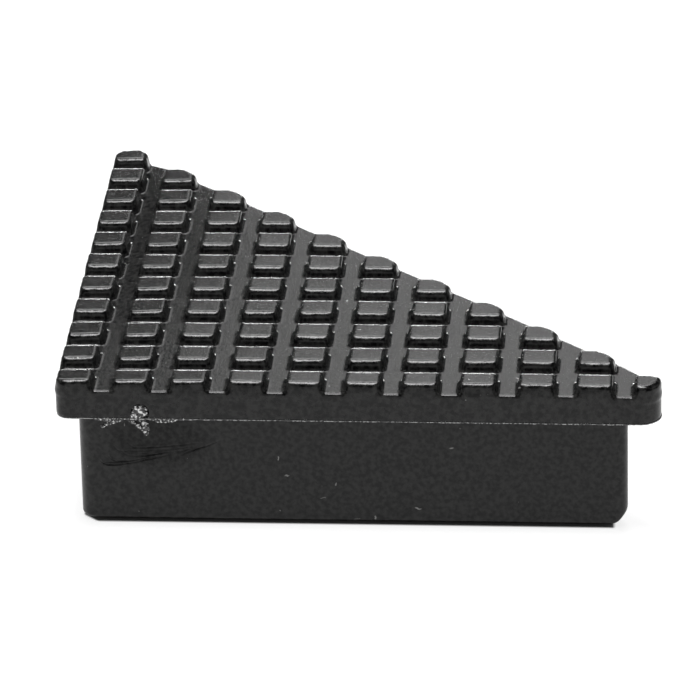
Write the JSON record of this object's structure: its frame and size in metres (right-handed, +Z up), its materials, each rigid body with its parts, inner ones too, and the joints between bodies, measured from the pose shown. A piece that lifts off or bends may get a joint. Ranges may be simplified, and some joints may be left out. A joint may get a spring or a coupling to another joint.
{
  "type": "door stop",
  "caption": "Right-triangular rubber door stop: a studded tread pad over an inset hollow plug body, screwed to a steel base plate with keyhole slots.",
  "frame": {"origin": "middle of the bounding box, at the base plate's underside", "axes": "+Z up to the stud tops, +X along the front leg away from the right-angled corner, +Y along the left leg away from it"},
  "size_m": [0.105, 0.105, 0.0286],
  "materials": {
    "tread_rubber": "semi-gloss moulded black rubber, finely grained stud tops",
    "body_rubber": "smooth semi-gloss moulded black rubber",
    "plate_steel": "dark brown-black phosphated sheet steel",
    "insert_brass": "turned brass",
    "zinc_steel": "bright zinc plated"
  },
  "bodies": {
    "root": {"tread_pad": "tread_rubber", "plug_body": "body_rubber", "base_plate": "plate_steel", "threaded_insert_1": "insert_brass", "threaded_insert_2": "insert_brass", "threaded_insert_3": "insert_brass", "spacer_sleeve_1": "zinc_steel", "spacer_sleeve_2": "zinc_steel", "spacer_sleeve_3": "zinc_steel", "clamp_screw_1": "zinc_steel", "clamp_screw_2": "zinc_steel", "clamp_screw_3": "zinc_steel"}
  },
  "joints": []
}
